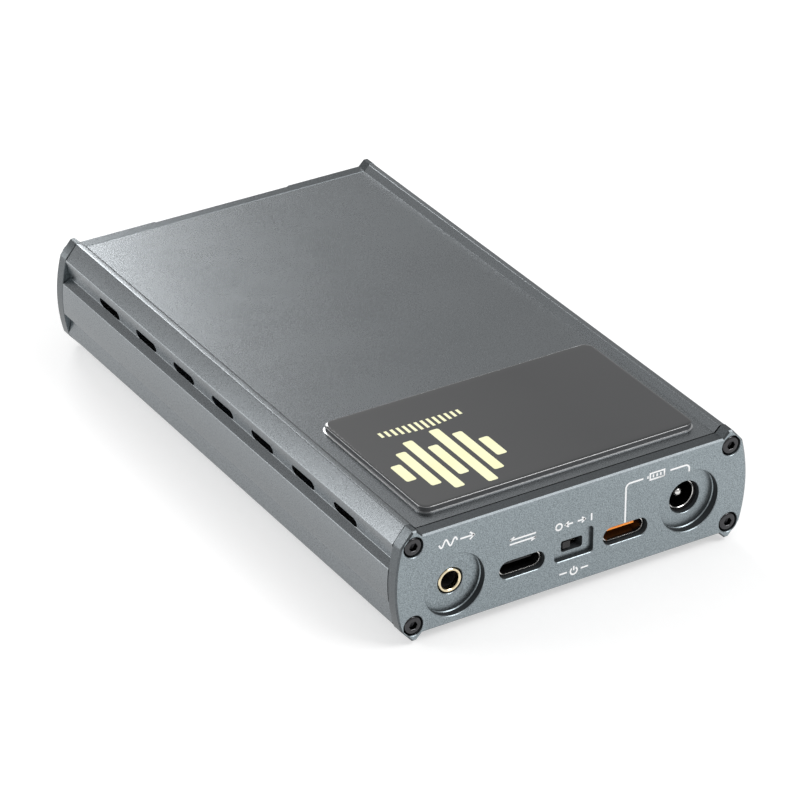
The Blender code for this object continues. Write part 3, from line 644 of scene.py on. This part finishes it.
def makeGlass():
    shape = glassShape
    low, high = nodeBox("glass_window")
    top = high[2] - shape["printHeight"]
    middle = (low + high)[:2] / 2
    wide, long = (high - low)[:2]
    under = low[2] - shape["lipDrop"]
    bead, drop = shape["bead"], shape["bevelDrop"]
    rings = [(shape["lip"], low[2]), (shape["lip"], under)]
    rings += [(-bead, under), (-bead, under + shape["beadHigh"])]
    rings += [(0, under + shape["foot"]), (0, top - drop)]
    for a in np.linspace(0, np.pi / 2, 9)[1:]:
        rings.append((shape["bevelWide"] * (1 - math.cos(a)), top - drop * (1 - math.sin(a))))
    corner = shape["corner"]
    loops = [
        acrossZ(roundBoxLoop(wide - 2 * inset, long - 2 * inset, corner - inset, middle), z)
        for inset, z in rings
    ]
    paint = Paint("darkGlass", Coat_Weight=1.0, Coat_Roughness=0.02, Coat_IOR=1.5, IOR=1.5)
    haze = paint.noise(25.0, 3.0)
    across = Wire(paint, paint.make("SeparateXYZ", None, {"Vector": paint.place}).socket.node.outputs[0])
    # the glass's base colour lightens along X: a painted reflection
    paintedReflection = ((across / mm - shape["reflectionStart"]) / shape["reflectionSpan"]).clamped()
    plain = paint.mix(haze, (0.010, 0.011, 0.013, 1), (0.016, 0.017, 0.019, 1))
    paint.set("Base Color", paint.mix(paintedReflection, plain, (0.045, 0.046, 0.047, 1)))
    paint.set("Roughness", 0.10 + haze * 0.06)
    paint.bump(paint.noise(40.0), 0.01, 0.3)
    edge = Paint("groundEdge", Metallic=1.0, Roughness=0.3)
    worn = edge.noise(0.6, 3.0)
    edge.set("Base Color", edge.mix(worn, (0.50, 0.51, 0.52, 1), (0.66, 0.67, 0.68, 1)))
    soft = Paint("softEdge", Metallic=1.0, Roughness=0.35)
    soft.set("Base Color", soft.mix(soft.noise(0.8), (0.30, 0.302, 0.306, 1), (0.42, 0.425, 0.43, 1)))
    wall = Paint("groundWall", Coat_Weight=0.5)
    wall.set("Base Color", wall.mix(wall.noise(0.6, 3.0), (0.05, 0.052, 0.055, 1), (0.08, 0.082, 0.086, 1)))
    wall.set("Roughness", 0.35 + wall.noise(0.3) * 0.1)
    skin = Skin().sweep(loops[:3], 2).sweep(loops[2:5], 1).sweep(loops[4:6], 2).sweep(loops[5:8], 3)
    skin.sweep(loops[7:]).flat(loops[0]).flat(loops[-1])
    made = [paint.material, edge.material, wall.material, soft.material]
    return skin.build("glassPlate", "case", "window", ["glass_window"], made, 50)


# The print on the glass: seven bars of a waveform, and a row of level ticks.
emblem = {
    "start": 6.2,
    "pitch": 3.15,
    "middle": 50.3,
    "width": 2.1,
    "halfHeights": (3.4, 7.4, 10.4, 5.6, 9.2, 6.4, 3.0),
    "ticks": 14,
    "tickPitch": 1.28,
    "tickFoot": 35.9,
    "tickHigh": 2.9,
    "tickStart": 5.0,
    "tickWidth": 0.6,
    "corner": 0.45,
}


def makeEmblem():
    _, high = nodeBox("glass_window")
    heights = (high[2] - glassShape["printHeight"] - 0.005, high[2])
    skin = Skin()
    for k, half in enumerate(emblem["halfHeights"]):
        middle = (emblem["start"] + emblem["pitch"] * k, emblem["middle"])
        bar = roundBoxLoop(emblem["width"], 2 * half, emblem["corner"], middle)
        skin.solid([acrossZ(bar, z) for z in heights])
    for k in range(emblem["ticks"]):
        x, foot = emblem["tickStart"] + emblem["tickPitch"] * k, emblem["tickFoot"]
        long = emblem["tickHigh"] * (0.55 + 0.45 * math.sin(math.pi * (k + 0.5) / emblem["ticks"]))
        skin.stroke([(x, foot), (x, foot + long)], emblem["tickWidth"], heights, acrossZ)
    skin.build("glassPrint", "case", "window", [], [paints["yellow"]])


# Profiles are (radius, depth below the head's top); the key is (width across flats, depth).
screwShape = {
    "sunk": 0.1,
    "tip": (0.9, 11.7),
    "thread": (2.0, 11.4, 0.2),  # from, to and step
    "threadRadius": 0.84,
    "threadDepth": 0.16,
    "head": (
        (1.0, 1.9), (1.75, 1.9), (1.9, 1.78), (1.9, 0.55), (1.86, 0.36),
        (1.74, 0.18), (1.56, 0.06), (1.36, 0.0), (1.1, 0.0),
    ),
    "key": ((1.6, 0.0), (1.5, 0.06), (1.5, 1.0), (0.2, 1.35)),
}


def makeScrews():
    shape = screwShape
    for end, outer, inwards in (("rear", panelHigh[1], -1), ("front", frontLow[1], 1)):
        for number, place in enumerate(screwPlaces(end), 1):
            top = outer + shape["sunk"] * inwards
            thread = np.arange(*shape["thread"])[::-1]
            rings = [shape["tip"]]
            for k, depth in enumerate(thread):
                rings.append((shape["threadRadius"] + shape["threadDepth"] * (k % 2), depth))
            rings += shape["head"]
            loops = [circleLoop(radius, place, 48) for radius, _ in rings]
            loops += [hexLoop(across, place) for across, _ in shape["key"]]
            depths = [depth for _, depth in (*rings, *shape["key"])]
            placed = [acrossY(loop, top + inwards * depth) for loop, depth in zip(loops, depths)]
            # the hex socket takes paint 1, near-black steel: painted shade
            skin = Skin().sweep(placed[:-2]).flat(placed[0]).sweep(placed[-3:], 1).flat(placed[-1], paint=1)
            node = f"{end}_screw_{number}"
            made = [paints["blackScrew"], paints["insideShadeSteel"]]
            skin.build(f"{end}Screw{number}", "case", "screw", [node], made, 35)


portShape = {
    "sheet": 0.3,
    "blade": (6.7, 0.66),
    "baseLength": 1.3,
    "contacts": 12,
    "contactPitch": 0.5,
    "contactHalf": 0.13,
    "contactSpan": (3.2, 0.4),  # distances behind the blade's tip
}
portInsides = (("data", "black", "black_plastic"), ("charge", "orange", "orange_plastic"))


def makePorts():
    shape = portShape
    sheet, count = shape["sheet"], shape["contacts"]
    for name, insidePaint, slotName in portInsides:
        low, high = nodeBox(f"{name}_port_shell")
        middle = faceMiddle(f"{name}_port_shell")
        wide, tall = high[0] - low[0], high[2] - low[2]
        rings = [(0, low[1]), (0, high[1] - 0.1), (0.08, high[1])]
        rings += [(sheet - 0.08, high[1]), (sheet, high[1] - 0.12), (sheet, low[1])]
        loops = [(roundBoxLoop(wide - 2 * g, tall - 2 * g, tall / 2 - g, middle), y) for g, y in rings]
        swept = [acrossY(loop, y) for loop, y in loops]
        # the shell's inner wall takes paint 1, near-black steel: painted shade
        skin = Skin().sweep(swept[:5]).sweep(swept[4:] + swept[:1], 1)
        made = [paints["steel"], paints["insideShadeSteel"]]
        skin.build(f"{name}PortShell", "case", "steel", [f"{name}_port_shell"], made, 35)
        low, high = nodeBox(f"{name}_port_tongue")
        wide, tall = high[0] - low[0], high[2] - low[2]
        root = low[1] + shape["baseLength"]
        base = [(0, low[1]), (0, root), (0.1, root + 0.1)]
        loops = [(roundBoxLoop(wide - 2 * g, tall - 2 * g, tall / 2 - g, middle), y) for g, y in base]
        skin = Skin().solid([acrossY(loop, y) for loop, y in loops])
        blade = [(0, root - 0.1), (0, high[1] - 0.25), (0.18, high[1])]
        wide, tall = shape["blade"]
        loops = [(roundBoxLoop(wide - 2 * g, tall - 2 * g, 0.1, middle), y) for g, y in blade]
        skin.solid([acrossY(loop, y) for loop, y in loops])
        x = middle[0] + shape["contactPitch"] * (np.arange(count) - (count - 1) / 2)
        back, front = [high[1] - behind for behind in shape["contactSpan"]]
        for side in (-1, 1):
            faceZ = middle[1] + side * tall / 2
            bottom, top = sorted((faceZ - 0.01, faceZ + side * 0.02))
            lows = [(u - shape["contactHalf"], back, bottom) for u in x]
            highs = [(u + shape["contactHalf"], front, top + 0.01) for u in x]
            skin.blocks(lows, highs, 1)
        made = [paints[insidePaint], paints["gold"]]
        skin.build(f"{name}PortTongue", "case", slotName, [f"{name}_port_tongue"], made, 35)


def tubeRings(outer, inner, back, front, edge=0.12):  # front is the visible end, with both its edges broken
    way = 1 if front > back else -1
    rings = [(outer, back), (outer, front - way * edge), (outer - edge, front)]
    return rings + [(inner + edge, front), (inner, front - way * edge), (inner, back)]


def makeJacks():
    for name, hidden in (("aux", "aux_jack_ring"), ("line", "line_jack_ring")):
        low, high = nodeBox(hidden)
        middle = faceMiddle(hidden)
        back, front = (low[1], high[1]) if name == "aux" else (high[1], low[1])
        skin = turned(Skin(), middle, tubeRings(2.4, 1.85, back, front), endless=True)
        skin.build(f"{name}Ring", "case", "gold", [hidden], [paints["gold"]], 30)
    low, high = nodeBox("dc_jack_sleeve")
    middle = faceMiddle("dc_jack_sleeve")
    rings = tubeRings(3.0, 2.7, low[1], high[1], 0.1)
    skin = Skin().sweep([acrossY(circleLoop(radius, middle), y) for radius, y in rings[:5]])
    # the sleeve's inside takes paint 1, near-black steel: painted shade
    skin.sweep([acrossY(circleLoop(radius, middle), y) for radius, y in rings[4:] + rings[:1]], 1)
    made = [paints["steel"], paints["insideShadeSteel"]]
    skin.build("inletSleeve", "case", "steel", ["dc_jack_sleeve"], made, 30)
    low, high = nodeBox("dc_jack_pin")
    rings = [(2.3, low[1]), (2.3, low[1] + 0.6), (2.2, low[1] + 0.7), (1.0, low[1] + 0.7)]
    domed = np.linspace(0, np.pi / 2, 9)[:-1]
    rings += [(math.cos(a), high[1] - 1.0 + math.sin(a)) for a in domed] + [(0.05, high[1])]
    skin = turned(Skin(), middle, rings)
    skin.build("inletPin", "case", "steel", ["dc_jack_pin"], [paints["steel"]], 40)
    low, high = nodeBox("phones_jack_ring")
    middle = faceMiddle("phones_jack_ring")
    rings = [(5.8, high[1]), (5.8, low[1] + 0.35), (5.65, low[1] + 0.1), (5.4, low[1])]
    rings += [(4.75, low[1]), (4.6, low[1] + 0.15), (4.6, high[1])]
    skin = turned(Skin(), middle, rings, 96, endless=True)
    skin.build("phonesRing", "case", "panel", ["phones_jack_ring"], [paints["panel"]], 30)


def makeSlider():
    low, high = nodeBox("power_slider")
    x, _, z = (low + high) / 2
    skin = Skin()
    wide, tall = high[0] - low[0], high[2] - low[2]
    base = [(0.1, low[1]), (0, low[1] + 0.1), (0, low[1] + 1.9), (0.1, low[1] + 2.0)]
    skin.solid([acrossY(roundBoxLoop(wide - 2 * g, tall - 2 * g, 0.3, (x, z)), y) for g, y in base])
    nub = [(0, low[1] + 1.9), (0, high[1] - 0.25), (0.07, high[1] - 0.1), (0.2, high[1] - 0.05)]
    skin.solid([acrossY(roundBoxLoop(1.7 - 2 * g, 1.5 - 2 * g, 0.3 - g, (x, z)), y) for g, y in nub])
    ribs = x + np.array([-0.4, 0.0, 0.4])
    lows = np.column_stack([ribs - 0.09, np.full(3, high[1] - 0.2), np.full(3, z - 0.5)])
    highs = np.column_stack([ribs + 0.09, np.full(3, high[1]), np.full(3, z + 0.5)])
    skin.blocks(lows, highs)
    skin.build("switchNub", "power_switch", "black_plastic", ["power_slider"], [paints["black"]], 35)


knobShape = {
    "ridges": 60,
    "ridgeDepth": 0.12,
    "topEdge": 0.5,
    "bore": 2.3,
    "boreDepth": 1.8,  # below the knob's top
    "grubHole": 1.25,
    "pointerStart": 2.4,
    "pointerWidth": 0.7,
}


def makeKnob():
    low, high = nodeBox("volume_knob")
    middle = faceMiddle("volume_knob")
    radius = (high[0] - low[0]) / 2
    tip, root = low[1] + 0.02, high[1]
    t = np.linspace(0, 2 * np.pi, 6 * knobShape["ridges"], endpoint=False)
    circle = np.column_stack([np.cos(t), np.sin(t)])
    ridge = 0.5 - 0.5 * np.cos(knobShape["ridges"] * t)  # 0 on a ridge, 1 in the furrow beside it
    bore, edge = knobShape["bore"], knobShape["topEdge"]
    rings = [(bore, tip + knobShape["boreDepth"], 0), (bore, root, 0)]
    rings += [(radius - 0.3, root, 0), (radius, root - 0.3, 0), (radius, root - 0.5, 0)]
    rings += [(radius, root - 0.7, 1), (radius, tip + edge + 0.5, 1), (radius, tip + edge + 0.3, 0)]
    bend = np.linspace(0, np.pi / 2, 6)
    rings += [(radius - edge * (1 - math.cos(a)), tip + edge * (1 - math.sin(a)), 0) for a in bend]
    rings += [(radius - 1.1, tip, 0), (radius - 1.3, tip + 0.08, 0)]
    loops = [
        acrossY(middle + circle * (r - knobShape["ridgeDepth"] * furrow * ridge)[:, None] if furrow
                else middle + circle * r, y)
        for r, y, furrow in rings
    ]
    skin = Skin().solid(loops)
    knob = skin.build("volumeKnob", "volume_control", "knob", ["volume_knob"], [paints["knob"]], 30)
    grub = middleOf("knob_grub_screw")
    hole = Skin()
    turned(hole, grub[:2], [(knobShape["grubHole"], z) for z in (-1.0, -radius - 1)], 40, "Z")
    carve(knob, hole, 30)
    mark = Skin()
    reach = (knobShape["pointerStart"], radius - 1.5)
    path = [(middle[0], middle[1] + distance) for distance in reach]
    mark.stroke(path, knobShape["pointerWidth"], (tip + 0.1, low[1]), acrossY)
    mark.build("knobPointer", "volume_control", "knob", [], [paints["white"]])
    low, high = nodeBox("knob_grub_screw")
    rings = [(0.55, high[2]), (0.95, high[2] - 0.35), (1.0, high[2] - 0.45)]
    rings += [(1.0, low[2] + 0.1), (0.9, low[2])]
    loops = [acrossZ(circleLoop(r, grub[:2], 48), z) for r, z in rings]
    key = ((0.95, 0), (0.9, 0.05), (0.9, 0.9), (0.1, 1.1))  # width across flats, and depth
    loops += [acrossZ(hexLoop(across, grub[:2]), low[2] + depth) for across, depth in key]
    skin = Skin().solid(loops)
    skin.build("grubScrew", "volume_control", "screw", ["knob_grub_screw"], [paints["blackScrew"]], 35)


def makeButtons():
    for name, body in (("mode", "mode_key"), ("gain", "gain_key")):
        low, high = nodeBox(f"{name}_button")
        middle = faceMiddle(f"{name}_button")
        t = np.linspace(0, np.pi / 2, 5)
        rings = [(2.8, high[1]), (2.8, high[1] - 1.0), (2.2, high[1] - 1.0), (2.2, low[1] + 0.3)]
        rings += [(2.2 - 0.3 * (1 - math.cos(a)), low[1] + 0.3 * (1 - math.sin(a))) for a in t[1:]]
        rings += [(r, low[1] + 0.18 * (1 - (r / 1.7) ** 2)) for r in (1.7, 1.3, 0.9, 0.5, 0.15)]
        skin = turned(Skin(), middle, rings)
        skin.build(f"{name}Key", body, "panel", [f"{name}_button"], [paints["panel"]], 30)


def makeFeet():
    for number in range(1, 5):
        low, high = nodeBox(f"foot_{number}")
        middle = (low + high)[:2] / 2
        radius = (high[0] - low[0]) / 2
        t = np.linspace(0, np.pi / 2, 6)
        rings = [(radius, high[2]), (radius, low[2] + 0.5)]
        rings += [(radius - 0.5 * (1 - math.cos(a)), low[2] + 0.5 * (1 - math.sin(a))) for a in t[1:]]
        rings += [(2.6, low[2]), (2.4, low[2] + 0.15), (1.8, low[2] + 0.15), (1.6, low[2])]
        skin = turned(Skin(), middle, rings, 64, "Z")
        skin.build(f"foot{number}", "case", "rubber", [f"foot_{number}"], [paints["rubber"]], 30)


# The white signs on the rear plate, with heights from the middle plane.
signs = {"line": 0.35, "fine": 0.33}


def bend(middle, radius, start, end, count=10):  # middle + radius (cos t, sin t) from start to end degrees
    t = np.radians(np.linspace(start, end, count))
    return np.column_stack([middle[0] + radius * np.cos(t), middle[1] + radius * np.sin(t)])


def makeSigns():
    outer = panelHigh[1] - inkHeight
    heights = (outer - 0.005, panelHigh[1])
    skin = Skin()

    def line(*parts, width=signs["fine"]):
        skin.stroke(np.vstack(parts), width, heights, acrossY)

    # a bracket from the charging port to the power inlet, with a battery in its gap
    line([(-10.85, -0.9)], bend((-11.75, 6.25), 0.9, 0, 90), [(-14.6, 7.15)], width=signs["line"])
    line([(-20.5, 7.15)], bend((-23.8, 6.25), 0.9, 90, 180), [(-24.7, 5.6)], width=signs["line"])
    line([(-19.2, 6.45), (-19.2, 7.75), (-16.1, 7.75), (-16.1, 6.45), (-19.2, 6.45)])
    line([(-15.6, 6.85), (-15.6, 7.35)])
    for x in (-18.4, -17.6, -16.8):
        line([(x, 6.8), (x, 7.4)])
    # a wave and an arrow for the line output
    x = np.linspace(25.0, 28.8, 40)
    line(np.column_stack([x, 6.95 + 0.7 * np.sin((x - 25.0) * 2 * np.pi / 1.9)]))
    line([(24.4, 6.95), (21.5, 6.95)])
    line([(22.4, 7.7), (21.5, 6.95), (22.4, 6.2)])
    # arrows both ways for the data port
    for z, way in ((3.15, 1), (2.3, -1)):
        line([(11.2 - 2.8 * way, z), (11.2 + 2.8 * way, z)])
        line([(11.2 + 1.8 * way, z + 0.5 * way), (11.2 + 2.8 * way, z)])
    # off and on at the two ends of the slide switch, and the standby sign under it
    line(bend((3.5, 2.7), 0.65, 0, 360, 25))
    line([(-3.5, 1.95), (-3.5, 3.45)])
    for way in (-1, 1):
        line([(0.5 * way, 2.7), (2.1 * way, 2.7)])
        line([(1.4 * way, 3.25), (2.1 * way, 2.7), (1.4 * way, 2.15)])
    line(bend((0.1, -7.6), 0.72, 125, 415, 25))
    line([(0.1, -7.5), (0.1, -6.6)])
    for way in (-1, 1):
        line([(0.1 + 1.5 * way, -7.5), (0.1 + 3.1 * way, -7.5)])
    skin.build("rearSigns", "case", "panel", [], [paints["white"]])


# Solder mask: darker green over bare board, lighter over buried tracks that run along X and Y.
def boardPaint():
    paint = Paint("solderMask", Coat_Weight=0.3)
    parts = paint.make("SeparateXYZ", None, {"Vector": paint.place})
    along = [Wire(paint, parts.socket.node.outputs[k]) for k in (0, 1)]
    patches = paint.noise(7.0, 1.0)
    stripes = [along[k].maths("FRACT", along[k] * (1 / (pitch * mm))) for k, pitch in ((0, 1.27), (1, 1.6))]
    track = (patches > 0.5) * (stripes[0] < 0.3) + (patches < 0.5) * (stripes[1] < 0.3)
    paint.set("Base Color", paint.mix(track, (0.012, 0.085, 0.035, 1), (0.03, 0.15, 0.06, 1)))
    paint.set("Roughness", 0.35 + paint.noise(0.4) * 0.1)
    paint.bump(track, 0.03)
    return paint.material


def cellPaint():  # shrink film over four flat cells, with soft wrinkles
    paint = Paint("shrinkFilm", Coat_Weight=0.5, Coat_Roughness=0.15)
    wrinkle = paint.noise(4.0, 4.0, 0.6)
    paint.set("Base Color", paint.mix(wrinkle, (0.02, 0.09, 0.2, 1), (0.05, 0.16, 0.32, 1)))
    paint.set("Roughness", 0.3 + wrinkle * 0.15)
    paint.bump(wrinkle, 0.15)
    return paint.material


# The frame's own pieces inside the case keep their shapes and take these finishes.
inside = {
    "black": ["aux_jack_body", "line_jack_body", "phones_jack_body", "dc_jack_body",
              "mode_switch", "gain_switch"],
    "chip": ["charger_coil", "dac_chip", "receiver_chip", "opamp_left", "opamp_right", "display_module"],
    "steel": ["output_capacitor_left", "output_capacitor_right", "power_switch_frame", "shield_can",
              "volume_pot", "volume_shaft"],
    "tape": ["battery_foam", "window_tape"],
    "lead": ["battery_lead"],
    "nylon": ["battery_plug"],
    "film": ["display_ribbon"],
    "clear": ["light_pipe"],
    "white": ["status_light"],
    "cells": ["battery_pack"],
    "board": ["main_board"],
}


def paintInside():
    paints["cells"], paints["board"] = cellPaint(), boardPaint()
    for paintName, names in inside.items():
        for name in names:
            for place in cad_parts[name].material_slots:
                place.material = paints[paintName]


makeCase()
print("case made")
makeRearPanel()
makeFrontPanel()
makeScrews()
print("end plates and screws made")
makeGlass()
makeEmblem()
makeSigns()
print("glass and print made")
makePorts()
makeJacks()
makeSlider()
print("connectors made")
makeKnob()
makeButtons()
makeFeet()
paintInside()
print("controls, feet and finishes made")


# The studio: a white table, soft boxes and the camera. Places are in metres.
studio = {
    "worldStrength": 0.52,
    "table": 6.0,
    "tableGlow": 0.50,
    "boxes": {  # place, target, width, height, power
        "farLeft": ((0.58, -0.30, 0.26), (0.03, 0.05, 0.02), 0.30, 0.25, 1.5),
        "edgeStrip": ((0.42, -0.50, 0.045), (0.03, 0.0, 0.02), 0.55, 0.09, 0.45),
        "overFar": ((-0.14, -0.80, 0.44), (0.0, -0.02, 0.02), 0.32, 0.32, 2.9),
        "overNear": ((-0.30, 0.40, 0.52), (0.0, 0.05, 0.0), 0.35, 0.30, 2.0),
    },
}


def makeStudio():
    half = studio["table"] / 2
    data = bpy.data.meshes.new("table")
    corners = [(-half, -half, 0), (half, -half, 0), (half, half, 0), (-half, half, 0)]
    data.from_pydata(corners, [], [(0, 1, 2, 3)])
    paint = Paint("tablePaper", Roughness=0.9, Emission_Strength=studio["tableGlow"])
    paint.set("Emission Color", (1, 1, 1, 1))
    fibre = paint.noise(2.0, 4.0)
    paint.set("Base Color", paint.mix(fibre, (0.60, 0.60, 0.60, 1), (0.64, 0.64, 0.64, 1)))
    data.materials.append(paint.material)
    table = bpy.data.objects.new("table", data)
    bpy.context.scene.collection.objects.link(table)
    world = bpy.data.worlds.new("studio")
    bpy.context.scene.world = world
    world.use_nodes = True
    sky = world.node_tree.nodes["Background"]
    sky.inputs["Color"].default_value = (1, 1, 1, 1)
    sky.inputs["Strength"].default_value = studio["worldStrength"]
    for name, (place, target, wide, high, power) in studio["boxes"].items():
        light = bpy.data.lights.new(name, "AREA")
        light.shape, light.size, light.size_y, light.energy = "RECTANGLE", wide, high, power
        lamp = bpy.data.objects.new(name, light)
        bpy.context.scene.collection.objects.link(lamp)
        lamp.location = place
        lamp.rotation_euler = (Vector(place) - Vector(target)).to_track_quat("Z", "Y").to_euler()


def makeCamera():
    camera = bpy.data.objects.new("camera", bpy.data.cameras.new("camera"))
    bpy.context.scene.collection.objects.link(camera)
    camera.location = (0.35882, 0.59756, 0.40547)
    look = Vector((-0.45117, -0.74149, -0.49662))
    camera.rotation_euler = (-look).to_track_quat("Z", "Y").to_euler()
    camera.data.lens, camera.data.sensor_width = 187.6, 36.0
    camera.data.clip_start = 0.01
    bpy.context.scene.camera = camera


makeStudio()
makeCamera()
scene = bpy.context.scene
scene.view_settings.view_transform = "Standard"
print("studio and camera made")
